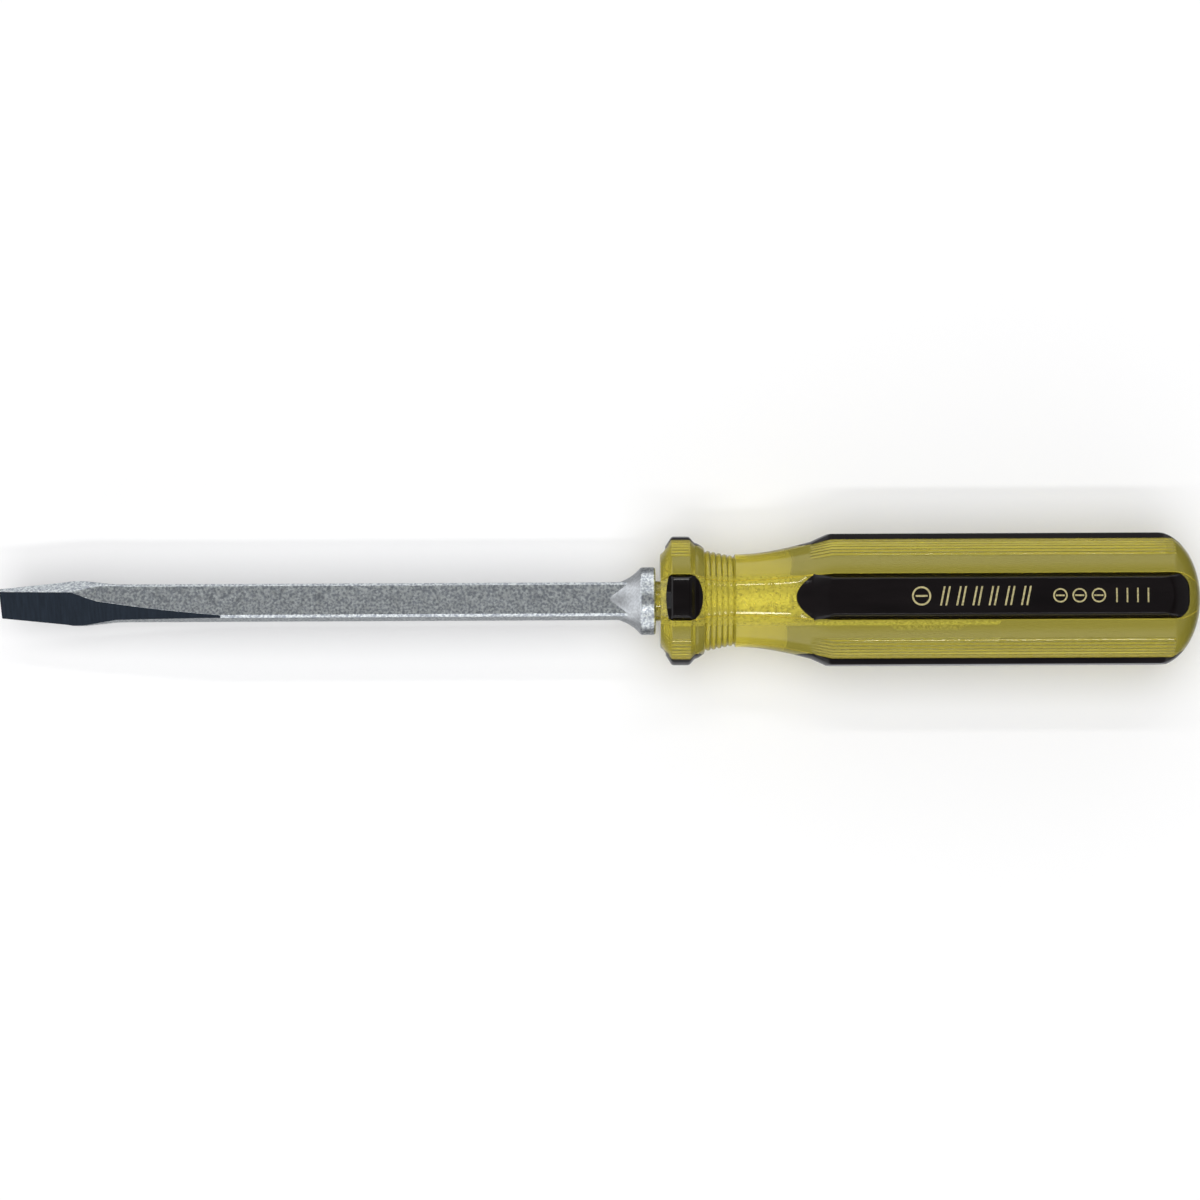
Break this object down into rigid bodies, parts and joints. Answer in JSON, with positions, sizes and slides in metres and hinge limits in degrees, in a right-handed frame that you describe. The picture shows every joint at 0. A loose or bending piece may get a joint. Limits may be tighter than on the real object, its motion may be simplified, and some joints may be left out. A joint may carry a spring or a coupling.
{
  "type": "slotted screwdriver",
  "caption": "Slotted screwdriver with a forged square shank, round bolster and a clear amber fluted handle with black strips along its lands.",
  "frame": {"origin": "middle of the tip's end face, on the tool's axis", "axes": "+X along the axis from the tip to the butt, +Z out of the top land and away from the surface it lies on, +Y out of the left land"},
  "size_m": [0.2785, 0.0304, 0.0304],
  "materials": {
    "blade_steel": "satin plated steel with a fine speckle; the ground faces of the tip are dark",
    "amber_plastic": "clear amber cellulose plastic, polished",
    "black_plastic": "gloss black"
  },
  "bodies": {
    "root": {"blade": "blade_steel", "handle_body": "amber_plastic", "grip_stripe_top": "black_plastic", "grip_stripe_left": "black_plastic", "grip_stripe_bottom": "black_plastic", "grip_stripe_right": "black_plastic", "head_patch_top": "black_plastic", "head_patch_left": "black_plastic", "head_patch_bottom": "black_plastic", "head_patch_right": "black_plastic"}
  },
  "joints": []
}
